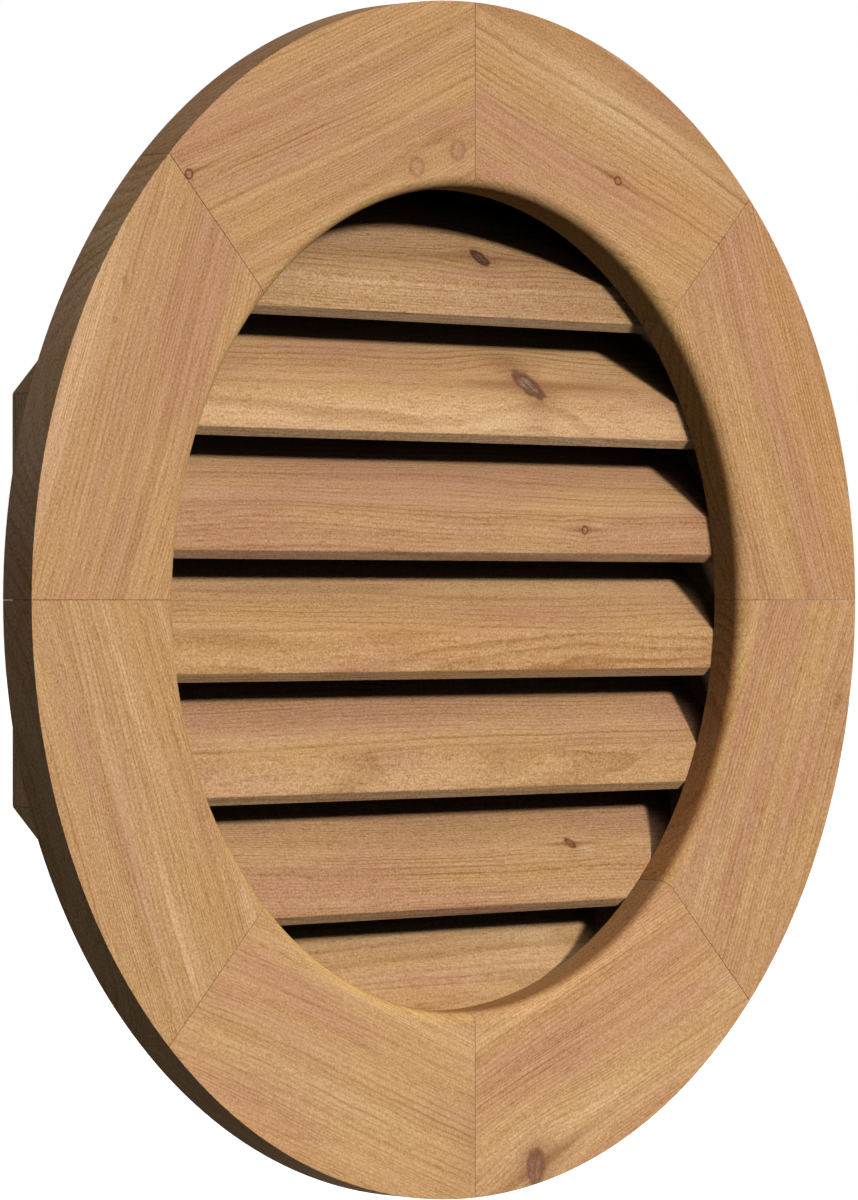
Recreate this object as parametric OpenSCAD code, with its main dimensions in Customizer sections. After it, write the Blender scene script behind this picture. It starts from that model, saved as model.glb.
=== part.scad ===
// Round gable vent: a mitred face ring, an octagonal box behind it, seven sloping slats
// and a wire screen over the back of the box.
// +X points right, +Y into the wall and +Z up. The origin is on the axis of the ring, in the
// plane of the wall, where the back face of the ring rests.

/* [Face ring] */
// Diameter of the round opening
opening_d = 393.7; // [330:0.1:470]
// Width of the ring, from the opening to its outer edge
ring_w = 88.9; // [70:0.1:120]
// Thickness of the ring
ring_t = 19.05; // [15:0.05:30]
// Radius of the rounded front edge of the opening
opening_round = 6.35; // [2:0.05:10]

/* [Box] */
// Step from the edge of the opening out to the inside of the box
box_reveal = 12.7; // [8:0.1:20]
// Thickness of the box boards
box_t = 19.05; // [12:0.05:24]
// Depth of the groove in the back of the ring that holds the box
groove_depth = 3.2; // [2:0.1:6]
// Depth of the box behind the ring
box_depth = 57.15; // [45:0.05:90]

/* [Slats] */
// Thickness of the slat boards
slat_t = 19.05; // [14:0.05:22]
// Width of the slat boards, along the slope
slat_w = 88.9; // [70:0.1:95]
// Slope of the slats, from level
slat_angle = 45; // [35:1:55]
// Width of the square edge left under the upright face that is ripped along a slat's front
slat_lip = 5.9; // [2:0.1:10]

/* [Screen] */
// Diameter of the screen's wires
wire_d = 1.05; // [0.6:0.05:2]
// Distance between the wires
wire_pitch = 12.7; // [10:0.1:30]
// Step from the outside of the box in to the edge of the screen
screen_margin = 6; // [2:0.5:15]

/* [Joints] */
// Width of the glue line in each joint
glue_gap = 0.2; // [0.1:0.05:0.3]

/* [Hidden] */
$fn = 96;
face_colour = "#c79c6c";
box_colour = "#b98f62";
slat_colour = "#c0936a";
wire_colour = "#a9adb0";

// Eight segments make the ring, with a mitre at the top. The box has its flats at the top and
// the sides, so its mitres lie half way between those of the ring.
sides = 8;
side_angle = 360 / sides;
half_angle = side_angle / 2;
slat_count = 7;
cut_over = 1; // how far a cutting solid runs past the face that it cuts
wire_gap = 0.05; // air between the wires and what they lie on

opening_r = opening_d / 2;
mitre_turn = asin(glue_gap / 2 / (opening_r + ring_w / 2)); // half a glue line, as an angle

// Distances from the axis to the inside and the outside of the box's flats
box_in = opening_r + box_reveal;
box_out = box_in + box_t;
mitre_trim = glue_gap / 2 / cos(half_angle); // half a glue line, along a board's face

// The slats fill the box from its bottom board to its top board at an even pitch. Their lowest
// corner is the nose, just behind the ring. The upper face of a slat ends at the board's edge, or
// at the back of the box where that comes first.
slat_front_y = glue_gap;
slat_back_y = box_depth - glue_gap;
nose_y = slat_front_y + slat_lip * sin(slat_angle);
edge_rise = slat_w * sin(slat_angle);
back_cut_rise = (slat_back_y - nose_y + slat_t * sin(slat_angle)) * tan(slat_angle);
slat_rise = slat_t * cos(slat_angle) + min(edge_rise, back_cut_rise);
seat_gap = 1.5 * glue_gap; // air under the lowest slat and over the top one
slat_pitch = (2 * box_in - 2 * seat_gap - slat_rise) / (slat_count - 1);
lowest_nose_z = -box_in + seat_gap;

screen_in = box_out - screen_margin;
wires_out = floor((screen_in - wire_d) / wire_pitch); // wires on each side of the middle one
first_layer_y = box_depth + wire_gap + wire_d / 2;
second_layer_y = first_layer_y + wire_d + wire_gap;

// Going round from the right, and from the top down
face_nodes = [for (place = ["right_upper", "top_right", "top_left", "left_upper",
                            "left_lower", "bottom_left", "bottom_right", "right_lower"])
    str("face_", place)];
box_nodes = [for (place = ["right", "top_right", "top", "top_left",
                           "left", "bottom_left", "bottom", "bottom_right"])
    str("box_", place)];
slat_nodes = [for (number = [1 : slat_count]) str("slat_", number)];

function nose_z(index) = lowest_nose_z + (slat_count - 1 - index) * slat_pitch;

// How far the screen's outline reaches to each side, at a distance from its middle line
function screen_reach(offset) = min(screen_in, screen_in * sqrt(2) - abs(offset));

// Turns what is drawn flat, with its face up, so that it hangs on the wall
module hung() {
    rotate([90, 0, 0]) children();
}

module octagon_prism(flat_distance, height) {
    rotate(half_angle) cylinder(r = flat_distance / cos(half_angle), h = height, $fn = sides);
}

// Section of the ring: a board with its front inner edge rounded over
module ring_section() {
    translate([opening_r, 0]) square([ring_w, ring_t - opening_round]);
    translate([opening_r + opening_round, 0]) square([ring_w - opening_round, ring_t]);
    translate([opening_r + opening_round, ring_t - opening_round]) circle(r = opening_round);
}

// Octagonal groove in the back of the ring
module box_groove() {
    translate([0, 0, -cut_over]) difference() {
        octagon_prism(box_out + glue_gap, cut_over + groove_depth);
        octagon_prism(box_in - glue_gap, cut_over + groove_depth);
    }
}

module face_segment(index) {
    color(face_colour) hung() difference() {
        rotate(index * side_angle + mitre_turn)
            rotate_extrude(angle = side_angle - 2 * mitre_turn) ring_section();
        box_groove();
    }
}

// One side of the box, mitred at both ends, with its front edge in the groove
module box_board(index) {
    in_half = box_in * tan(half_angle) - mitre_trim;
    out_half = box_out * tan(half_angle) - mitre_trim;
    color(box_colour) hung() rotate(index * side_angle) translate([0, 0, -box_depth])
        linear_extrude(box_depth + groove_depth - glue_gap)
            polygon([[box_in, -in_half], [box_out, -out_half], [box_out, out_half], [box_in, in_half]]);
}

// A sloping board, ripped plumb along both edges to lie flush with the front and the back of the
// box, and cut at both ends to the inside of the box
module slat(index) {
    color(slat_colour) intersection() {
        translate([0, nose_y, nose_z(index)]) rotate([90, 0, 90])
            linear_extrude(2 * box_out, center = true)
                rotate(slat_angle) square([slat_w, slat_t]);
        hung() translate([0, 0, -slat_back_y])
            octagon_prism(box_in - glue_gap, slat_back_y - slat_front_y);
    }
}

// Straight wires, level ones on the box's back edge and upright ones behind them
module bird_screen() {
    color(wire_colour) for (step = [-wires_out : wires_out]) {
        offset = step * wire_pitch;
        length = 2 * screen_reach(offset);
        translate([0, first_layer_y, offset]) rotate([0, 90, 0])
            cylinder(d = wire_d, h = length, center = true);
        translate([offset, second_layer_y, 0]) cylinder(d = wire_d, h = length, center = true);
    }
}

for (index = [0 : sides - 1]) {
    face_segment(index);
    box_board(index);
}
for (index = [0 : slat_count - 1])
    slat(index);
bird_screen();
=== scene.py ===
import math

import bpy
import bmesh
from mathutils import Matrix, Vector


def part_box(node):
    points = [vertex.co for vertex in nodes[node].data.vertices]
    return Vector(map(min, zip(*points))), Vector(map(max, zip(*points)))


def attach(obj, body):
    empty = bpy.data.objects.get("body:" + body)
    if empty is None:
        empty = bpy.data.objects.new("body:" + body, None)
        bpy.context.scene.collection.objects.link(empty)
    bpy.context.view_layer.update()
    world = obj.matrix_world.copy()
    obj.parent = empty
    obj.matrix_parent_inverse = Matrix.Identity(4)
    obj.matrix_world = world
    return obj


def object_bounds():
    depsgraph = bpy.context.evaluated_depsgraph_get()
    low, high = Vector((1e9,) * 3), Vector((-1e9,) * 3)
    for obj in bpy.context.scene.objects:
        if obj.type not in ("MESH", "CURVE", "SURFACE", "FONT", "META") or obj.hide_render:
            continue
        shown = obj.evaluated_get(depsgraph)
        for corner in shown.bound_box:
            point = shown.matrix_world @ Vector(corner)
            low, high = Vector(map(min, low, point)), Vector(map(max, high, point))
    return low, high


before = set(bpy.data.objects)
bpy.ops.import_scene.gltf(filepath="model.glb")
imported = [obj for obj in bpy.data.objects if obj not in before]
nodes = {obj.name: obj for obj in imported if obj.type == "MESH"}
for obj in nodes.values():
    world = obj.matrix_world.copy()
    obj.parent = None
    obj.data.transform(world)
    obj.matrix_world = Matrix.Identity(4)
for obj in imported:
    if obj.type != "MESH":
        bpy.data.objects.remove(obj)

cadLow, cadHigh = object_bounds()  # the solids' own box
scene = bpy.context.scene
mm = 0.001
print("frame loaded,", len(nodes), "solids")


# Small helpers for node trees

def put(tree, socket, value):
    if isinstance(value, bpy.types.NodeSocket):
        tree.links.new(value, socket)
    else:
        socket.default_value = value


def addNode(tree, kind, sockets=None, **settings):
    made = tree.nodes.new(kind)
    for name, value in settings.items():
        setattr(made, name, value)
    for key, value in (sockets or {}).items():
        put(tree, made.inputs[key], value)
    return made


def calc(tree, operation, *values):
    return addNode(tree, "ShaderNodeMath", dict(enumerate(values)), operation=operation).outputs[0]


def vectorCalc(tree, operation, *values):
    made = addNode(tree, "ShaderNodeVectorMath", dict(enumerate(values)), operation=operation)
    plain = operation in ("DOT_PRODUCT", "LENGTH")
    return made.outputs["Value" if plain else "Vector"]


def step(tree, value, low, high, start=0.0, end=1.0):  # eases from start to end
    sockets = dict(enumerate((value, low, high, start, end)))
    return addNode(tree, "ShaderNodeMapRange", sockets, interpolation_type="SMOOTHSTEP").outputs[0]


def sway(tree, value, strength, base):  # adds a noise, as much up as down
    return calc(tree, "MULTIPLY_ADD", calc(tree, "SUBTRACT", value, 0.5), strength, base)


def blendColour(tree, share, first, second, how="MIX"):
    sockets = {0: share, 6: first, 7: second}
    return addNode(tree, "ShaderNodeMix", sockets, data_type="RGBA", blend_type=how).outputs[2]


def flatPlace(tree, first, second):
    return addNode(tree, "ShaderNodeCombineXYZ", {0: first, 1: second}).outputs[0]


def spread(tree, first, second, reach):  # a flat place, over two lengths
    return flatPlace(tree, calc(tree, "DIVIDE", first, reach[0]), calc(tree, "DIVIDE", second, reach[1]))


def stretched(tree, place, lengths, shift):  # a place over three lengths, moved by a board's own shift
    scales = tuple(1 / length for length in lengths)
    shifts = tuple(shift * turn for turn in (3.7, 5.3, 7.1))
    return vectorCalc(tree, "MULTIPLY_ADD", place, scales, shifts)


def noise(tree, place, detail=2.0, rough=0.5):
    sockets = {"Vector": place, "Scale": 1.0, "Detail": detail, "Roughness": rough}
    return addNode(tree, "ShaderNodeTexNoise", sockets).outputs[0]


def lineNoise(tree, value):
    sockets = {"W": value, "Scale": 1.0, "Detail": 1.0}
    return addNode(tree, "ShaderNodeTexNoise", sockets, noise_dimensions="1D").outputs[0]


def objectPlace(tree):
    return addNode(tree, "ShaderNodeTexCoord").outputs["Object"]


def newMaterial(name):
    material = bpy.data.materials.new(name)
    material.use_nodes = True
    material.node_tree.nodes.clear()
    return material, material.node_tree


def finishMaterial(tree, shader):
    addNode(tree, "ShaderNodeOutputMaterial", {0: shader.outputs[0]})


def colour(red, green, blue):
    return (red, green, blue, 1.0)


# Small helpers for shapes

def outwardAt(angle):  # away from the ring's axis
    return Vector((math.cos(angle), 0, math.sin(angle)))


def openingRadius(node):
    return min(Vector((v.co.x, 0, v.co.z)).length for v in node.data.vertices)


def pieceFrom(work, name):
    mesh = bpy.data.meshes.new(name)
    work.to_mesh(mesh)
    work.free()
    piece = bpy.data.objects.new(name, mesh)
    scene.collection.objects.link(piece)
    return piece


# Knots: a share beside each tone, then the share of the brown halo and of the dark lines to both sides
knotKinds = {
    "pin": {
        "rimTone": colour(0.165, 0.050, 0.020), "rim": 0.86,
        "heartTone": colour(0.470, 0.235, 0.150), "heart": 0.75,
        "streakTone": colour(0.350, 0.150, 0.090), "halo": 0.30, "tail": 0.80,
    },
    "red": {
        "rimTone": colour(0.175, 0.058, 0.024), "rim": 0.82,
        "heartTone": colour(0.300, 0.120, 0.062), "heart": 0.90,
        "streakTone": colour(0.200, 0.072, 0.034), "halo": 0.30, "tail": 0.80,
    },
    "dark": {
        "rimTone": colour(0.105, 0.042, 0.030), "rim": 0.85,
        "heartTone": colour(0.220, 0.100, 0.070), "heart": 0.95,
        "streakTone": colour(0.105, 0.044, 0.034), "halo": 0.35, "tail": 0.50,
    },
    "broad": {
        "rimTone": colour(0.150, 0.060, 0.030), "rim": 0.75,
        "heartTone": colour(0.330, 0.175, 0.110), "heart": 0.95,
        "streakTone": colour(0.185, 0.110, 0.066), "halo": 0.75, "tail": 0.60,
    },
    "soft": {
        "rimTone": colour(0.190, 0.080, 0.042), "rim": 0.55,
        "heartTone": colour(0.310, 0.150, 0.090), "heart": 0.90,
        "streakTone": colour(0.215, 0.105, 0.062), "halo": 0.80, "tail": 0.60,
    },
    "faint": {
        "rimTone": colour(0.330, 0.150, 0.080), "rim": 0.55,
        "heartTone": colour(0.480, 0.250, 0.140), "heart": 0.20,
        "streakTone": colour(0.420, 0.210, 0.115), "halo": 0.12, "tail": 0.10,
    },
}
knotShape = {
    "ragged": 0.055,             # roughness of the outline, for each mm of width
    "raggedMost": 0.6,
    "bend": -0.8,                # how far the grain gives way
    "bendReach": (2.6, 1.25),    # reaches are times the knot's size
    "haloReach": (0.85, 0.95),
    "tailReach": (3.6, 0.20),
    "streakReach": (0.6, 0.20),
    "streakRange": (0.40, 0.60),
    "heartEdge": (0.8, 1.1),     # edges are times its radius
    "rimRise": (0.5, 0.85),
    "rimFall": (0.95, 1.3),
}

# Cedar, cut from its own log for each board: lengths in mm, colours linear
cedar = {
    "straw": colour(0.590, 0.338, 0.154),
    "rose": colour(0.538, 0.284, 0.154),
    "brown": colour(0.330, 0.165, 0.070),
    "late": colour(0.330, 0.145, 0.042),
    "pale": colour(0.680, 0.410, 0.195),
    "cream": colour(0.640, 0.410, 0.215),
    "ochre": colour(0.590, 0.315, 0.130),
    "milk": colour(0.740, 0.475, 0.255),
    "halo": colour(0.280, 0.125, 0.050),
    "tail": colour(0.270, 0.105, 0.036),
    "endGrain": colour(0.720, 0.640, 0.560),
    "endRange": (0.55, 0.92),     # how squarely a face has to cross the grain
    "rosyRange": (0.36, 0.68),
    "wander": 9.0,                # how far the grain strays sideways
    "ripple": 1.3,
    "uneven": 7.0,                # how far the rings bunch and spread
    "unevenLength": 21,
    "unevenShift": 1.7,
    "bandLength": 6.5,            # bands of a few rings, lighter and darker
    "bandShift": 2.3,
    "lateRise": (0.44, 0.86),     # when a year's dark wood starts and ends
    "lateFall": (0.88, 1.0),
    "faintYear": 0.5,             # the faintest ring beside the darkest
    "clearRange": (0.32, 0.68),   # rings are clear in places only
    "clearLeast": 0.45,
    "poreRange": (0.60, 0.72),
    "lean": (0.72, 1.01, 1.54),   # how much a change of tone moves each colour
    "lineDepth": 0.68,
    "bandDepth": 0.16,
    "fibreDepth": 0.16,
    "speckDepth": 0.50,
    "poreDepth": 0.14,
    "lateBump": -0.5,
    "fibreBump": 0.5,
    "bumpStrength": 0.35,
    "bumpDistance": 0.00012,
    "fibreRange": (0.25, 0.75),
    "rough": (0.62, 0.78),
    "gloss": 0.02,
}

# What varies over a board: lengths along, across and through it, and a shift of its own
figures = {
    "stray": {"lengths": (230, 55, 55), "shift": 0, "detail": 1.0},
    "ripple": {"lengths": (48, 13, 13), "shift": 2, "detail": 2.0},
    "fibre": {"lengths": (60, 1.2, 1.2), "shift": 4, "detail": 2.0, "rough": 0.6},
    "speck": {"lengths": (1.3, 1.05, 1.05), "shift": 6, "detail": 1.0, "rough": 0.6},
    "zone": {"lengths": (115, 24, 24), "shift": 8, "detail": 2.0},
    "wobble": {"lengths": (3.6, 3.6, 3.6), "shift": 10, "detail": 1.0},
    "clear": {"lengths": (70, 17, 17), "shift": 12, "detail": 1.0},
    "pore": {"lengths": (9, 1.0, 1.0), "shift": 14, "detail": 0.0},
}

# Board edges: angles in degrees, the weld in metres
edges = {"weld": 1e-6, "flat": 0.6, "sharp": 35, "segments": 2, "faceWeight": 100}


def figure(tree, place, seed, name):
    facts = figures[name]
    moved = stretched(tree, place, facts["lengths"], seed + facts["shift"])
    return noise(tree, moved, facts["detail"], facts.get("rough", 0.5))


def boardPlace(tree, board):  # mm along, across and out of a board, from its middle
    rows = Matrix((board["along"], board["across"], board["out"]))
    return addNode(tree, "ShaderNodeMapping", {
        "Vector": objectPlace(tree),
        "Location": -(rows @ board["middle"]) / mm,
        "Rotation": rows.to_euler(),
        "Scale": (1 / mm, 1 / mm, 1 / mm),
    }).outputs[0]


def fade(tree, first, second, reach):  # 1 in the middle, dying away over two lengths
    spot = spread(tree, first, second, reach)
    far = vectorCalc(tree, "DOT_PRODUCT", spot, spot)
    return calc(tree, "EXPONENT", calc(tree, "MULTIPLY", far, -1.0))


def turned(tree, first, second, degrees):
    cosine = math.cos(math.radians(degrees))
    sine = math.sin(math.radians(degrees))
    longWay = calc(tree, "MULTIPLY_ADD", first, cosine, calc(tree, "MULTIPLY", second, sine))
    shortWay = calc(tree, "MULTIPLY_ADD", second, cosine, calc(tree, "MULTIPLY", first, -sine))
    return longWay, shortWay


def times(parts, sizes):
    return tuple(part * size for part, size in zip(parts, sizes))


def knotField(tree, along, across, knot, wobble):
    size = knot["size"]
    wide = sum(size) / 2
    fromAlong = calc(tree, "SUBTRACT", along, knot["at"][0])
    fromAcross = calc(tree, "SUBTRACT", across, knot["at"][1])
    longWay, shortWay = turned(tree, fromAlong, fromAcross, knot.get("turn", 0))
    even = vectorCalc(tree, "LENGTH", spread(tree, longWay, shortWay, (size[0] / 2, size[1] / 2)))
    ragged = min(knotShape["raggedMost"], knotShape["ragged"] * wide)
    near = fade(tree, fromAlong, fromAcross, times(knotShape["bendReach"], (wide, wide)))
    streaks = spread(tree, longWay, shortWay, times(knotShape["streakReach"], size))
    return {
        "radius": sway(tree, wobble, ragged, even),
        "push": calc(tree, "MULTIPLY", calc(tree, "MULTIPLY", fromAcross, near), knotShape["bend"]),
        "halo": fade(tree, longWay, shortWay, times(knotShape["haloReach"], size)),
        "tail": fade(tree, fromAlong, fromAcross, times(knotShape["tailReach"], (wide, wide))),
        "streaks": noise(tree, streaks, 1.0),
    }


def paintKnot(tree, base, knot, field):
    kind = knotKinds[knot["kind"]]
    radius = field["radius"]
    for ground in ("halo", "tail"):
        share = calc(tree, "MULTIPLY", field[ground], kind[ground])
        base = blendColour(tree, share, base, cedar[ground])
    streaks = step(tree, field["streaks"], *knotShape["streakRange"])
    inside = blendColour(tree, streaks, kind["heartTone"], kind["streakTone"])
    base = blendColour(tree, step(tree, radius, *knotShape["heartEdge"], kind["heart"], 0.0), base, inside)
    rise = step(tree, radius, *knotShape["rimRise"])
    fall = step(tree, radius, *knotShape["rimFall"], 1.0, 0.0)
    rim = calc(tree, "MULTIPLY", rise, fall)
    return blendColour(tree, calc(tree, "MULTIPLY", rim, kind["rim"]), base, kind["rimTone"])


def facing(tree, way):  # from -1 to 1, how far a surface faces a way
    normal = addNode(tree, "ShaderNodeNewGeometry").outputs["Normal"]
    return vectorCalc(tree, "DOT_PRODUCT", normal, way)


def cutTintOrShade(way, kind, tint=None):  # a tint for the faces that look one way: some are a cut's own colour, some are painted light and shade
    return dict(kind, way=way, tint=tint or kind["tint"])


def grainFlow(tree, place, across, seed, fields):  # the grain strays, ripples and flows round the knots
    flow = sway(tree, figure(tree, place, seed, "stray"), 2 * cedar["wander"], across)
    flow = sway(tree, figure(tree, place, seed, "ripple"), 2 * cedar["ripple"], flow)
    for field in fields:
        flow = calc(tree, "ADD", flow, field["push"])
    return flow


def growthRings(tree, board, place, along, flow, out):  # round the pith, unevenly wide, some of them dark
    seed = board["seed"]
    slant = calc(tree, "MULTIPLY", along, math.tan(math.radians(board["slant"])))
    sideways = calc(tree, "ADD", calc(tree, "SUBTRACT", flow, board["pith"][0]), slant)
    upwards = calc(tree, "SUBTRACT", out, board["pith"][1])
    radius = vectorCalc(tree, "LENGTH", flatPlace(tree, sideways, upwards))
    unevenPlace = calc(tree, "MULTIPLY_ADD", radius, 1 / cedar["unevenLength"], seed * cedar["unevenShift"])
    phase = calc(tree, "MULTIPLY_ADD", lineNoise(tree, unevenPlace), board.get("uneven", cedar["uneven"]),
                 calc(tree, "DIVIDE", radius, board["ringGap"]))
    year = calc(tree, "FLOOR", phase)
    season = calc(tree, "FRACT", phase)
    dice = addNode(tree, "ShaderNodeTexWhiteNoise", {"W": year}, noise_dimensions="1D").outputs["Value"]
    faint = cedar["faintYear"]
    darkness = calc(tree, "MULTIPLY_ADD", calc(tree, "POWER", dice, 2.0), 1 - faint, faint)
    patches = figure(tree, place, seed, "clear")
    clear = step(tree, patches, *cedar["clearRange"], cedar["clearLeast"], 1.0)
    rise = step(tree, season, *cedar["lateRise"])
    fall = step(tree, season, *cedar["lateFall"], 1.0, 0.0)
    line = calc(tree, "MULTIPLY", rise, fall)
    late = calc(tree, "MULTIPLY", line, calc(tree, "MULTIPLY", clear, darkness))
    bandPlace = calc(tree, "MULTIPLY_ADD", radius, 1 / cedar["bandLength"], seed * cedar["bandShift"])
    return late, lineNoise(tree, bandPlace)


def stained(tree, board, base, zone, along, across):
    for stain in board.get("stains", []):
        fromAlong = calc(tree, "SUBTRACT", along, stain["at"][0])
        fromAcross = calc(tree, "SUBTRACT", across, stain["at"][1])
        ragged = sway(tree, zone, stain["size"][1], fromAcross)
        share = calc(tree, "MULTIPLY", fade(tree, fromAlong, ragged, stain["size"]), stain["share"])
        base = blendColour(tree, share, base, cedar[stain["tone"]])
    return base


def makeCedar(name, board):
    material, tree = newMaterial(name)
    seed = board["seed"]
    contrast = board.get("contrast", 1.0)
    place = boardPlace(tree, board)
    along, across, out = addNode(tree, "ShaderNodeSeparateXYZ", {0: place}).outputs
    wobble = figure(tree, place, seed, "wobble")
    fields = [knotField(tree, along, across, knot, wobble) for knot in board["knots"]]
    flow = grainFlow(tree, place, across, seed, fields)
    late, band = growthRings(tree, board, place, along, flow, out)
    fibre = figure(tree, place, seed, "fibre")
    speck = figure(tree, place, seed, "speck")
    zone = figure(tree, place, seed, "zone")
    pore = step(tree, figure(tree, place, seed, "pore"), *cedar["poreRange"])

    rosy = step(tree, calc(tree, "ADD", zone, board["rose"]), *cedar["rosyRange"])
    base = blendColour(tree, rosy, cedar["straw"], cedar["rose"])
    base = stained(tree, board, base, zone, along, across)
    lines = calc(tree, "MULTIPLY", late, cedar["lineDepth"] * contrast)
    base = blendColour(tree, lines, base, cedar["late"])
    for knot, field in zip(board["knots"], fields):
        base = paintKnot(tree, base, knot, field)

    change = calc(tree, "MULTIPLY", pore, -cedar["poreDepth"] * contrast)
    for part, depth in ((band, "bandDepth"), (fibre, "fibreDepth"), (speck, "speckDepth")):
        change = sway(tree, part, 2 * cedar[depth] * contrast, change)
    shade = vectorCalc(tree, "MULTIPLY_ADD", change, cedar["lean"], (board["level"],) * 3)
    base = vectorCalc(tree, "MULTIPLY", base, shade)

    # ends across the grain drink light, and the faces that look each way get a tint: some the cut's own
    # colour, some painted shade and painted light
    ending = step(tree, calc(tree, "ABSOLUTE", facing(tree, board["along"])), *cedar["endRange"])
    base = blendColour(tree, ending, base, cedar["endGrain"], "MULTIPLY")
    for facts in board["cuts"]:
        share = step(tree, facing(tree, facts["way"]), facts["from"], facts["full"])
        base = blendColour(tree, share, base, facts["tint"], "MULTIPLY")

    height = calc(tree, "MULTIPLY_ADD", fibre, cedar["fibreBump"], speck)
    height = calc(tree, "MULTIPLY_ADD", late, cedar["lateBump"], height)
    bump = addNode(tree, "ShaderNodeBump", {
        "Strength": cedar["bumpStrength"], "Distance": cedar["bumpDistance"], "Height": height,
    })
    finishMaterial(tree, addNode(tree, "ShaderNodeBsdfPrincipled", {
        "Base Color": base,
        "Roughness": step(tree, fibre, *cedar["fibreRange"], *cedar["rough"]),
        "Specular IOR Level": cedar["gloss"],
        "Normal": bump.outputs[0],
    }))
    return material


def easeEdges(node, width):
    weld = node.modifiers.new("weld", "WELD")
    weld.merge_threshold = edges["weld"]
    flat = node.modifiers.new("flat", "DECIMATE")
    flat.decimate_type = "DISSOLVE"
    flat.angle_limit = math.radians(edges["flat"])
    ease = node.modifiers.new("ease", "BEVEL")
    ease.width = width
    ease.segments = edges["segments"]
    ease.limit_method = "ANGLE"
    ease.angle_limit = math.radians(edges["sharp"])
    true = node.modifiers.new("true", "WEIGHTED_NORMAL")  # wide faces stay flat beside the eased edges
    true.weight = edges["faceWeight"]
    true.keep_sharp = True


def dressBoard(node, board, easing):
    node.data.materials.clear()
    node.data.materials.append(makeCedar("cedar_" + node.name, board))
    easeEdges(node, easing)


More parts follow.
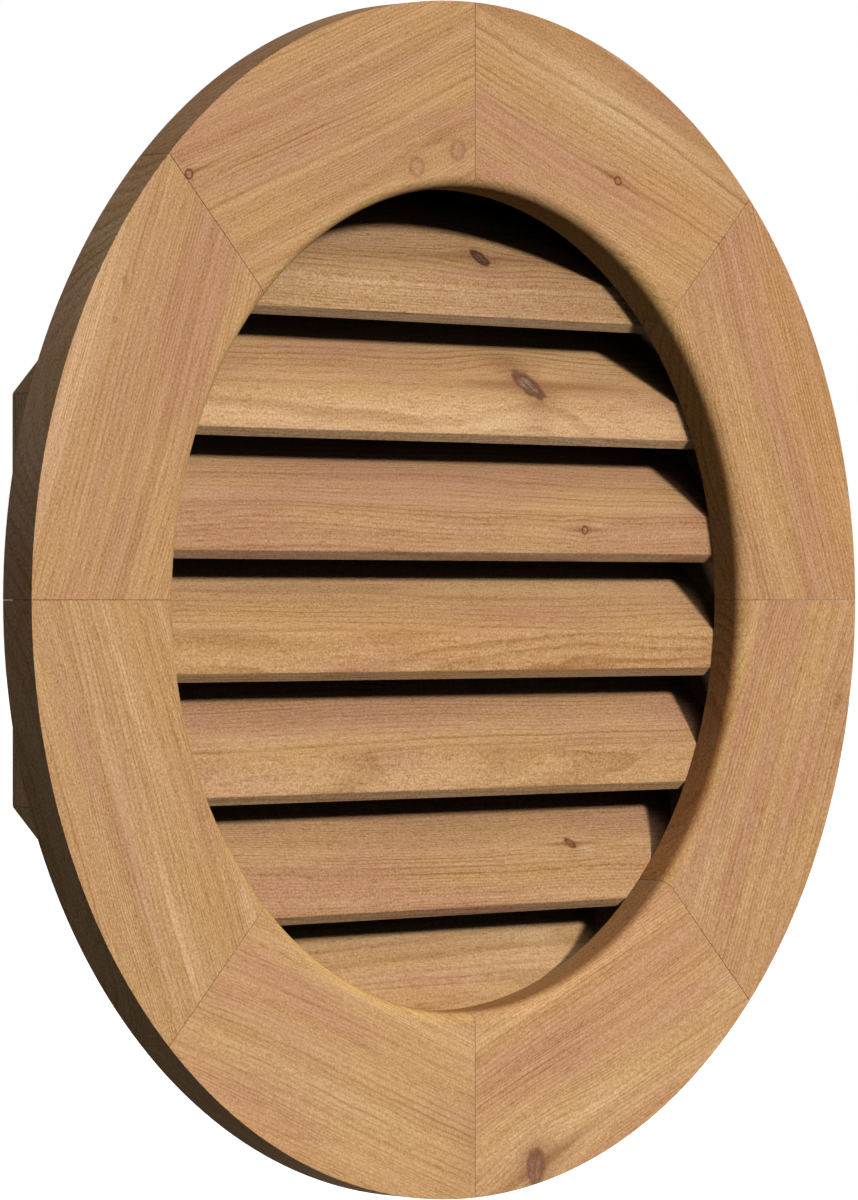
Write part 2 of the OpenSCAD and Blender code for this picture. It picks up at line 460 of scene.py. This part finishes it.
# Face ring: eight mitred boards from the right upwards, grain along each chord
ring = {
    "easing": 0.18 * mm,
    "rounded": {"from": 0.15, "full": 0.5, "tint": colour(0.98, 1.00, 0.83)},  # golden from the cutter
    "paintedWallShade": {"from": 0.7, "full": 1.0, "tint": colour(0.86, 0.66, 0.48)},    # painted shade: the inner wall darker and warmer, as under light bounced from the slats
    "paintedRimShade": {"from": 0.5, "full": 0.9, "tint": colour(0.71, 0.74, 0.78)},      # painted shade: the rim darker and cooler
    "boards": {
        "right_upper": {
            "seed": 1.0, "pith": (-150, -60), "ringGap": 2.5, "slant": 1.0, "rose": 0.02, "level": 0.99,
            "uneven": 3.0, "contrast": 1.12, "knots": [],
            "stains": [{"at": (0, 28), "size": (130, 16), "tone": "ochre", "share": 0.85},
                       {"at": (0, -32), "size": (130, 14), "tone": "straw", "share": 0.8},
                       {"at": (-6, -2), "size": (130, 6), "tone": "rose", "share": 1.0},
                       {"at": (-75, -10), "size": (40, 25), "tone": "rose", "share": 0.6}],
        },
        "top_right": {
            "seed": 2.0, "pith": (35, -70), "ringGap": 1.7, "slant": -2.0, "rose": -0.06, "level": 0.99,
            "knots": [{"at": (15.8, -12.0), "size": (4.8, 4.2), "kind": "pin"}],
            "stains": [{"at": (10, 20), "size": (70, 14), "tone": "cream", "share": 0.9},
                       {"at": (-50, -24), "size": (50, 12), "tone": "rose", "share": 0.85},
                       {"at": (62, -5), "size": (40, 20), "tone": "ochre", "share": 0.55}],
        },
        "top_left": {
            "seed": 3.0, "pith": (130, -50), "ringGap": 1.9, "slant": 1.5, "rose": 0.0, "level": 0.98,
            "knots": [{"at": (-101.3, 9.8), "size": (4.8, 4.8), "kind": "pin"},
                      {"at": (41.1, -36.7), "size": (10.0, 9.0), "kind": "faint"},
                      {"at": (70.9, -38.6), "size": (10.0, 9.5), "kind": "faint"}],
            "stains": [{"at": (59, -29), "size": (9, 5), "tone": "brown", "share": 0.25},
                       {"at": (-25, 18), "size": (80, 13), "tone": "rose", "share": 0.6},
                       {"at": (-55, -26), "size": (45, 12), "tone": "straw", "share": 0.8}],
        },
        "left_upper": {
            "seed": 4.0, "pith": (-170, -40), "ringGap": 2.3, "slant": -1.5, "rose": 0.03, "level": 0.98,
            "uneven": 4.0,
            "knots": [{"at": (44.8, 25.6), "size": (3.0, 2.4), "kind": "faint"},
                      {"at": (25.7, 24.3), "size": (3.0, 2.4), "kind": "faint"}],
            "stains": [{"at": (0, 36), "size": (110, 9), "tone": "milk", "share": 0.7},
                       {"at": (10, 4), "size": (90, 13), "tone": "rose", "share": 0.6}],
        },
        "left_lower": {
            "seed": 5.0, "pith": (140, -60), "ringGap": 1.9, "slant": 2.0, "rose": -0.14, "level": 0.97,
            "contrast": 1.05, "knots": [],
            "stains": [{"at": (77, -8), "size": (40, 14), "tone": "straw", "share": 0.8},
                       {"at": (0, 12), "size": (110, 20), "tone": "cream", "share": 0.45},
                       {"at": (50, -16), "size": (50, 4), "tone": "milk", "share": 0.5},
                       {"at": (36, 20), "size": (40, 5), "tone": "rose", "share": 0.8},
                       {"at": (-20, 12), "size": (45, 5), "tone": "rose", "share": 0.85},
                       {"at": (-70, -4), "size": (45, 4), "tone": "milk", "share": 0.6},
                       {"at": (-90, -48), "size": (25, 5), "tone": "milk", "share": 0.6}],
        },
        "bottom_left": {
            "seed": 6.0, "pith": (110, -55), "ringGap": 1.8, "slant": -2.0, "rose": -0.06, "level": 1.04,
            "contrast": 0.88, "knots": [],
            "stains": [{"at": (64, -30), "size": (45, 9), "tone": "rose", "share": 0.9},
                       {"at": (-30, -44), "size": (90, 5), "tone": "pale", "share": 0.8},
                       {"at": (-98, 5), "size": (12, 26), "tone": "brown", "share": 0.18},
                       {"at": (0, 8), "size": (80, 14), "tone": "cream", "share": 0.45}],
        },
        "bottom_right": {
            "seed": 7.0, "pith": (-120, -70), "ringGap": 1.8, "slant": 1.0, "rose": -0.06, "level": 1.05,
            # the inner wall's painted shade is deeper on this board
            "rounded": colour(0.94, 0.90, 0.88), "paintedWallShade": colour(0.74, 0.63, 0.52),
            "knots": [{"at": (65.2, 28.3), "size": (16.5, 12.0), "turn": 67, "kind": "soft"}],
            "stains": [{"at": (20, 22), "size": (90, 14), "tone": "cream", "share": 0.5},
                       {"at": (20, -18), "size": (70, 14), "tone": "rose", "share": 0.85},
                       {"at": (-74, -28), "size": (45, 12), "tone": "rose", "share": 0.8},
                       {"at": (-110, 10), "size": (25, 10), "tone": "cream", "share": 0.5},
                       {"at": (62, 12), "size": (22, 7), "tone": "milk", "share": 0.6},
                       {"at": (8, 19), "size": (40, 5), "tone": "milk", "share": 0.6},
                       {"at": (48, 31), "size": (14, 5), "tone": "brown", "share": 0.5},
                       {"at": (40, -44), "size": (80, 5), "tone": "pale", "share": 0.7}],
        },
        "right_lower": {
            "seed": 8.0, "pith": (160, -50), "ringGap": 2.4, "slant": 1.0, "rose": 0.02, "level": 1.0,
            # the inner wall's painted shade is a little deeper on this board
            "uneven": 3.5, "contrast": 1.08, "paintedWallShade": colour(0.82, 0.61, 0.48),
            "knots": [{"at": (-56.6, 29.4), "size": (5.0, 3.6), "kind": "faint"}],
            "stains": [{"at": (66, -30), "size": (40, 9), "tone": "cream", "share": 0.6},
                       {"at": (20, 8), "size": (120, 12), "tone": "straw", "share": 0.4}],
        },
    },
}


def buildRing():
    count = len(ring["boards"])
    for index, (place, facts) in enumerate(ring["boards"].items()):
        node = nodes["face_" + place]
        low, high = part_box(node.name)
        outward = outwardAt(2 * math.pi * (index + 0.5) / count)
        reach = max(outward.dot(v.co) for v in node.data.vertices)
        board = dict(facts)
        board["across"] = outward
        board["out"] = Vector((0, -1, 0))
        board["along"] = board["across"].cross(board["out"])  # clockwise, seen from the front
        board["middle"] = outward * (reach + openingRadius(node)) / 2 + Vector((0, (low.y + high.y) / 2, 0))
        # golden round-over, painted shade on the inner wall, painted shade on the rim
        board["cuts"] = [cutTintOrShade(-outward, ring["rounded"], facts.get("rounded")),
                         cutTintOrShade(-outward, ring["paintedWallShade"], facts.get("paintedWallShade")),
                         cutTintOrShade(outward, ring["paintedRimShade"])]
        dressBoard(node, board, ring["easing"])
    print("ring done,", count, "boards")


# Glue: a dried film in each mitre of the ring, sizes in mm
glue = {
    "thickness": 0.16,
    "inset": 0.15,
    "clear": 0.5,       # room left round the box's groove
    "round": 6.35,      # the opening's rounded edge
    "arcSteps": 8,
    "patch": 3.0,
    "patchRange": (0.35, 0.65),
    "dark": colour(0.120, 0.052, 0.024),
    "pale": colour(0.195, 0.092, 0.044),
    "roughRange": (0.3, 0.7),
    "rough": (0.5, 0.7),
}


def gluePoints():  # the ring's section, radius and depth, clear of the box's groove
    inset = glue["inset"] * mm
    clear = glue["clear"] * mm
    bend = glue["round"] * mm
    inner = openingRadius(nodes["face_top_left"]) + inset
    outer = cadHigh.x - inset
    front = cadLow.y + inset
    wall = -inset
    boxLow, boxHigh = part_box("box_right")
    groove = boxHigh.x + clear
    ledge = boxLow.y - clear
    points = [(outer, front), (outer, wall), (groove, wall), (groove, ledge), (inner, ledge)]
    for index in range(glue["arcSteps"] + 1):
        angle = math.pi / 2 * index / glue["arcSteps"]
        points.append((inner + bend - bend * math.cos(angle), front + bend - bend * math.sin(angle)))
    return points


def makeGlue():
    material, tree = newMaterial("dried_glue")
    patch = noise(tree, stretched(tree, objectPlace(tree), (glue["patch"] * mm,) * 3, 2.0), 2.0)
    finishMaterial(tree, addNode(tree, "ShaderNodeBsdfPrincipled", {
        "Base Color": blendColour(tree, step(tree, patch, *glue["patchRange"]), glue["dark"], glue["pale"]),
        "Roughness": step(tree, patch, *glue["roughRange"], *glue["rough"]),
        "Specular IOR Level": cedar["gloss"],
    }))
    return material


def buildGlue():
    outline = gluePoints()
    work = bmesh.new()
    count = len(ring["boards"])
    for index in range(count):
        angle = 2 * math.pi * index / count
        outward = outwardAt(angle)
        sideways = Vector((-math.sin(angle), 0, math.cos(angle))) * glue["thickness"] * mm
        places = [outward * radius + Vector((0, depth, 0)) - sideways / 2 for radius, depth in outline]
        face = work.faces.new([work.verts.new(place) for place in places])
        grown = bmesh.ops.extrude_face_region(work, geom=[face])["geom"]
        moved = [item for item in grown if isinstance(item, bmesh.types.BMVert)]
        bmesh.ops.translate(work, verts=moved, vec=sideways)
    bmesh.ops.recalc_face_normals(work, faces=work.faces)
    piece = pieceFrom(work, "glue_lines")
    piece.data.materials.append(makeGlue())
    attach(piece, "root")
    print("glue done,", count, "lines")


# Slats: sloping boards from the top down, grain from side to side
slats = {
    "easing": 0.3 * mm,
    "slope": 45.0,
    "sloping": {"from": 0.8, "full": 0.95, "tint": colour(0.91, 0.92, 0.94)},   # painted shade: the sloping tops a little darker
    "ripped": {"from": 0.88, "full": 0.97, "tint": colour(1.16, 1.18, 1.22)},   # painted light: the edge under the front lighter
    "boards": [
        {"seed": 11.0, "pith": (-60, -90), "ringGap": 1.9, "slant": 0.8, "rose": -0.04, "level": 0.86,
         "contrast": 1.1,
         "knots": [{"at": (35.1, 28.2), "size": (11.0, 9.0), "turn": -71, "kind": "dark"}],
         "stains": [{"at": (-20, 6), "size": (160, 9), "tone": "milk", "share": 0.5},
                    {"at": (-40, 42), "size": (60, 9), "tone": "cream", "share": 0.4},
                    {"at": (80, 10), "size": (45, 9), "tone": "brown", "share": 0.2},
                    {"at": (60, 30), "size": (50, 5), "tone": "rose", "share": 0.7},
                    {"at": (0, 26), "size": (90, 5), "tone": "brown", "share": 0.35}]},
        {"seed": 12.0, "pith": (60, -60), "ringGap": 2.1, "slant": -0.8, "rose": -0.05, "level": 1.0,
         "contrast": 1.1,
         "knots": [{"at": (65.2, 22.5), "size": (19.0, 14.0), "turn": -70, "kind": "broad"}],
         "stains": [{"at": (0, 5), "size": (260, 7), "tone": "milk", "share": 0.85},
                    {"at": (110, 36), "size": (40, 9), "tone": "cream", "share": 0.4},
                    {"at": (112, 25), "size": (28, 6), "tone": "brown", "share": 0.4},
                    {"at": (58, 38), "size": (16, 7), "tone": "brown", "share": 0.45},
                    {"at": (40, 22), "size": (16, 3), "tone": "brown", "share": 0.4},
                    {"at": (-70, 32), "size": (80, 5), "tone": "brown", "share": 0.16}]},
        {"seed": 13.0, "pith": (-120, -40), "ringGap": 2.6, "slant": 0.5, "rose": 0.05, "level": 0.97,
         "uneven": 3.0,
         "knots": [{"at": (99.5, 8.1), "size": (4.4, 2.8), "kind": "pin"}],
         "stains": [{"at": (111, 10), "size": (5, 1.4), "tone": "cream", "share": 0.7},
                    {"at": (-60, 34), "size": (150, 10), "tone": "rose", "share": 0.7},
                    {"at": (20, 3), "size": (120, 3), "tone": "straw", "share": 0.5}]},
        {"seed": 14.0, "pith": (50, -50), "ringGap": 1.9, "slant": 0.6, "rose": -0.04, "level": 0.99,
         "contrast": 1.18, "knots": [],
         "stains": [{"at": (-88, 43), "size": (40, 2.5), "tone": "brown", "share": 0.4},
                    {"at": (-24, 43), "size": (30, 2.0), "tone": "brown", "share": 0.4},
                    {"at": (-20, 15), "size": (90, 9), "tone": "ochre", "share": 0.7},
                    {"at": (30, 35), "size": (110, 4), "tone": "brown", "share": 0.18},
                    {"at": (130, 20), "size": (30, 14), "tone": "straw", "share": 0.8}]},
        {"seed": 15.0, "pith": (90, -70), "ringGap": 1.7, "slant": -0.6, "rose": 0.0, "level": 0.99,
         "contrast": 1.14, "knots": [],
         "stains": [{"at": (-70, 40), "size": (70, 8), "tone": "rose", "share": 0.8},
                    {"at": (20, 26), "size": (120, 4), "tone": "brown", "share": 0.16},
                    {"at": (-20, 4), "size": (150, 6), "tone": "milk", "share": 0.5},
                    {"at": (-95, 36), "size": (60, 8), "tone": "brown", "share": 0.2}]},
        {"seed": 16.0, "pith": (-80, -60), "ringGap": 1.7, "slant": 0.8, "rose": 0.02, "level": 0.98,
         "contrast": 1.12,
         "knots": [{"at": (98.8, 26.3), "size": (6.8, 5.8), "turn": -74, "kind": "red"}],
         "stains": [{"at": (109, 21), "size": (6, 2.5), "tone": "cream", "share": 0.7},
                    {"at": (-60, 14), "size": (60, 9), "tone": "rose", "share": 0.8},
                    {"at": (40, 38), "size": (110, 3), "tone": "brown", "share": 0.2},
                    {"at": (48, 45), "size": (60, 6), "tone": "brown", "share": 0.2},
                    {"at": (0, 31), "size": (150, 5), "tone": "brown", "share": 0.25}]},
        {"seed": 17.0, "pith": (70, -60), "ringGap": 2.0, "slant": -1.2, "rose": -0.16, "level": 1.02,
         "contrast": 1.1, "knots": [],
         "stains": [{"at": (60, 36), "size": (40, 13), "tone": "cream", "share": 0.5},
                    {"at": (84, 42), "size": (18, 7), "tone": "milk", "share": 0.6},
                    {"at": (-30, 10), "size": (60, 9), "tone": "ochre", "share": 0.5},
                    {"at": (66, 16), "size": (24, 6), "tone": "brown", "share": 0.32}]},
    ],
}


def buildSlats():
    slope = math.radians(slats["slope"])
    for index, facts in enumerate(slats["boards"]):
        node = nodes["slat_" + str(index + 1)]
        nose = min(node.data.vertices, key=lambda v: (round(v.co.z, 6), v.co.y)).co
        board = dict(facts)
        board["along"] = Vector((1, 0, 0))
        board["across"] = Vector((0, math.cos(slope), math.sin(slope)))
        board["out"] = Vector((0, -math.sin(slope), math.cos(slope)))
        board["middle"] = Vector((0, nose.y, nose.z))
        # painted shade on the sloping tops, painted light on the edge under the front
        board["cuts"] = [cutTintOrShade(board["out"], slats["sloping"]),
                         cutTintOrShade(-board["across"], slats["ripped"])]
        dressBoard(node, board, slats["easing"])
    print("slats done,", len(slats["boards"]), "boards")


# Box: eight boards on edge, grain along each side
box = {
    "easing": 0.3 * mm,
    "places": ["right", "top_right", "top", "top_left", "left", "bottom_left", "bottom", "bottom_right"],
    "aged": {"from": 0.5, "full": 0.9, "tint": colour(0.89, 0.97, 1.02)},   # outside, a little grey
    "board": {"pith": (90, -60), "ringGap": 2.3, "level": 1.06, "knots": []},
    "firstSeed": 21.0,
    "slant": 0.5,
    "slantStep": -0.15,
    "rose": -0.1,
    "roseSteps": (-0.03, 0.0, 0.03),   # in turn, round the box
}


def buildBox():
    count = len(box["places"])
    for index, place in enumerate(box["places"]):
        node = nodes["box_" + place]
        low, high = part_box(node.name)
        outward = outwardAt(2 * math.pi * index / count)
        board = dict(box["board"])
        board["seed"] = box["firstSeed"] + index
        board["slant"] = box["slant"] + box["slantStep"] * index
        board["rose"] = box["rose"] + box["roseSteps"][index % len(box["roseSteps"])]
        board["across"] = Vector((0, 1, 0))
        board["out"] = outward
        board["along"] = board["across"].cross(board["out"])
        board["middle"] = (low + high) / 2
        board["cuts"] = [cutTintOrShade(outward, box["aged"])]
        dressBoard(node, board, box["easing"])
    print("box done,", count, "boards")


# Drawn wire: dull zinc or steel in brighter patches
wire = {
    "patchRange": (0.35, 0.65),
    "roughRange": (0.3, 0.7),
    "rough": (0.38, 0.56),
    "bumpStrength": 0.2,
    "bumpDistance": 0.0001,
}


def makeWire(name, facts):
    material, tree = newMaterial(name)
    patch = noise(tree, stretched(tree, objectPlace(tree), (facts["patch"] * mm,) * 3, 1.0), 3.0)
    shine = step(tree, patch, *wire["patchRange"])
    bump = addNode(tree, "ShaderNodeBump", {
        "Strength": wire["bumpStrength"], "Distance": wire["bumpDistance"], "Height": patch,
    })
    finishMaterial(tree, addNode(tree, "ShaderNodeBsdfPrincipled", {
        "Base Color": blendColour(tree, shine, facts["dull"], facts["bright"]),
        "Metallic": 1.0,
        "Roughness": step(tree, patch, *wire["roughRange"], *wire["rough"]),
        "Normal": bump.outputs[0],
    }))
    return material


# Bird screen
screen = {
    "dull": colour(0.46, 0.47, 0.48),
    "bright": colour(0.66, 0.67, 0.68),
    "patch": 4.0,
}


def buildScreen():
    node = nodes["bird_screen"]
    node.data.materials.clear()
    node.data.materials.append(makeWire("zinc_wire", screen))
    print("screen done")


# Staples: bent wire, three to a board, over the screen's outer wires; sizes in mm
staples = {
    "width": 10.0,
    "wire": (1.1, 0.9),   # along the screen and away from it
    "bend": 1.2,
    "bendSteps": 4,
    "sides": 10,
    "sunk": 2.0,          # how deep the legs go into the wood
    "pitch": 12.7,        # of the screen, which the places below count in
    "edgeWire": 17,       # the wire that runs over the middle of a board's edge
    "spots": (-5.5, 0.5, 5.5),
    "corner": 12,
    "cornerSteps": (-4, 0, 4),
    "dull": colour(0.40, 0.40, 0.42),
    "bright": colour(0.60, 0.60, 0.61),
    "patch": 1.5,
}


def staplePlaces():  # middle, direction of the crown and how many layers of wire lie under it
    pitch = staples["pitch"] * mm
    edge = staples["edgeWire"] * pitch
    corner = staples["corner"]
    places = []
    for side in (-1, 1):
        for spot in staples["spots"]:
            places.append((Vector((side * edge, 0, spot * pitch)), Vector((1, 0, 0)), 2))
            places.append((Vector((spot * pitch, 0, side * edge)), Vector((0, 0, 1)), 1))
        for level in (-1, 1):
            for spot in staples["cornerSteps"]:
                middle = Vector((side * (corner + spot), 0, level * (corner - spot))) * pitch
                places.append((middle, Vector((side, 0, -level)).normalized(), 2))
    return places


def staplePath(way, crown, foot):  # distance along the crown, depth and direction, from foot to foot
    half = staples["width"] * mm / 2
    bend = staples["bend"] * mm
    path = [(-half, foot, Vector((0, 1, 0)))]
    for index in range(staples["bendSteps"] + 1):
        angle = math.pi / 2 * index / staples["bendSteps"]
        ahead = way * math.sin(angle) + Vector((0, math.cos(angle), 0))
        path.append((-half + bend - bend * math.cos(angle), crown - bend + bend * math.sin(angle), ahead))
    back = [(-x, y, Vector((0, -ahead.y, 0)) + way * ahead.dot(way)) for x, y, ahead in reversed(path)]
    return path + back


def addStaple(work, middle, way, path):
    flat, thick = [size * mm / 2 for size in staples["wire"]]
    turns = [2 * math.pi * index / staples["sides"] for index in range(staples["sides"])]
    sideways = way.cross(Vector((0, 1, 0)))
    rings = []
    for x, y, ahead in path:
        away = ahead.cross(sideways)
        centre = middle + way * x + Vector((0, y, 0))
        places = [centre + sideways * flat * math.cos(turn) + away * thick * math.sin(turn)
                  for turn in turns]
        rings.append([work.verts.new(place) for place in places])
    for first, second in zip(rings, rings[1:]):
        for index in range(len(turns)):
            after = (index + 1) % len(turns)
            side = work.faces.new((first[index], first[after], second[after], second[index]))
            side.smooth = True
    work.faces.new(rings[0])
    work.faces.new(rings[-1])


def buildStaples():
    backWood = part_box("box_left")[1].y
    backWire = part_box("bird_screen")[1].y
    thick = staples["wire"][1] * mm / 2
    places = staplePlaces()
    work = bmesh.new()
    for middle, way, layers in places:
        crown = backWood + (backWire - backWood) * layers / 2 + thick
        addStaple(work, middle, way, staplePath(way, crown, backWood - staples["sunk"] * mm))
    bmesh.ops.recalc_face_normals(work, faces=work.faces)
    piece = pieceFrom(work, "staples")
    piece.data.materials.append(makeWire("staple_steel", staples))
    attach(piece, "root")
    print("staples done,", len(places))


# Camera: metres, degrees and mm of lens
view = {
    "eye": (-1.9498, -1.8511, 0.0),
    "heading": 46.309,     # right of straight in
    "lens": 167.9,
    "sensor": 36.0,
}

# Light: what each lamp shines from, and how wide it is in degrees
lamps = {
    "key": {"from": (0.05, -1.0, 0.44), "strength": 2.55, "angle": 8.5, "glints": True},
    "above": {"from": (0.05, -1.0, 1.0), "strength": 0.9, "angle": 50.0, "glints": True},
    "side": {"from": (-1.0, -0.14, -0.32), "strength": 0.32, "angle": 6.0, "glints": True,
             "tint": (0.92, 0.98, 1.08)},
    "back": {"from": (1.8, 1.0, 0.80), "strength": 1.9, "angle": 2.0, "glints": False},
    "behind": {"from": (0.2, 1.0, -0.1), "strength": 0.9, "angle": 10.0, "glints": False},
}
studio = {
    "sky": colour(0.055, 0.055, 0.057),
    "white": colour(1, 1, 1),
    "bounces": 0,          # keeps the gaps between the slats dark
}

# Floor: metres
floor = {
    "drop": 0.30,          # how far it lies under the vent
    "size": 60.0,
    "pale": colour(0.80, 0.80, 0.80),
    "bounce": colour(0.12, 0.12, 0.12),
    "glow": 0.72,
}


def placeCamera():
    lens = bpy.data.cameras.new("camera")
    lens.lens = view["lens"]
    lens.sensor_width = view["sensor"]
    camera = bpy.data.objects.new("camera", lens)
    camera.location = view["eye"]
    camera.rotation_euler = (math.pi / 2, 0, -math.radians(view["heading"]))
    scene.collection.objects.link(camera)
    scene.camera = camera


def addLamp(name, facts):
    lamp = bpy.data.lights.new(name, "SUN")
    lamp.energy = facts["strength"]
    lamp.color = facts.get("tint", (1.0, 1.0, 1.0))
    lamp.angle = math.radians(facts["angle"])
    made = bpy.data.objects.new(name, lamp)
    made.visible_glossy = facts["glints"]
    made.rotation_mode = "QUATERNION"
    made.rotation_quaternion = Vector(facts["from"]).to_track_quat("Z", "Y")
    scene.collection.objects.link(made)


def seenDirectly(tree):  # 1 for what the camera sees, also in metal and glass
    path = addNode(tree, "ShaderNodeLightPath")
    mirror = calc(tree, "MAXIMUM", path.outputs["Is Glossy Ray"], path.outputs["Is Transmission Ray"])
    return calc(tree, "MAXIMUM", path.outputs["Is Camera Ray"], mirror)


def buildSky():
    world = bpy.data.worlds.new("studio")
    world.use_nodes = True
    tree = world.node_tree
    tree.nodes.clear()
    tone = blendColour(tree, seenDirectly(tree), studio["sky"], studio["white"])
    background = addNode(tree, "ShaderNodeBackground", {"Color": tone, "Strength": 1.0})
    addNode(tree, "ShaderNodeOutputWorld", {0: background.outputs[0]})
    scene.world = world


def buildFloor():
    work = bmesh.new()
    bmesh.ops.create_grid(work, x_segments=2, y_segments=2, size=floor["size"] / 2)
    ground = pieceFrom(work, "floor")
    ground.location = (0, 0, cadLow.z - floor["drop"])
    ground.visible_shadow = False  # lets the low side lamp through
    material, tree = newMaterial("pale_floor")
    seen = seenDirectly(tree)
    tone = blendColour(tree, seen, floor["bounce"], floor["pale"])
    matt = addNode(tree, "ShaderNodeBsdfDiffuse", {"Color": tone})
    glow = addNode(tree, "ShaderNodeEmission", {"Strength": calc(tree, "MULTIPLY", seen, floor["glow"])})
    finishMaterial(tree, addNode(tree, "ShaderNodeAddShader", {0: matt.outputs[0], 1: glow.outputs[0]}))
    ground.data.materials.append(material)


def buildStage():
    placeCamera()
    for name, facts in lamps.items():
        addLamp(name, facts)
    buildSky()
    buildFloor()
    scene.view_settings.view_transform = "Standard"
    scene.cycles.diffuse_bounces = studio["bounces"]
    print("camera, light and floor done")


buildRing()
buildGlue()
buildSlats()
buildBox()
buildScreen()
buildStaples()
buildStage()
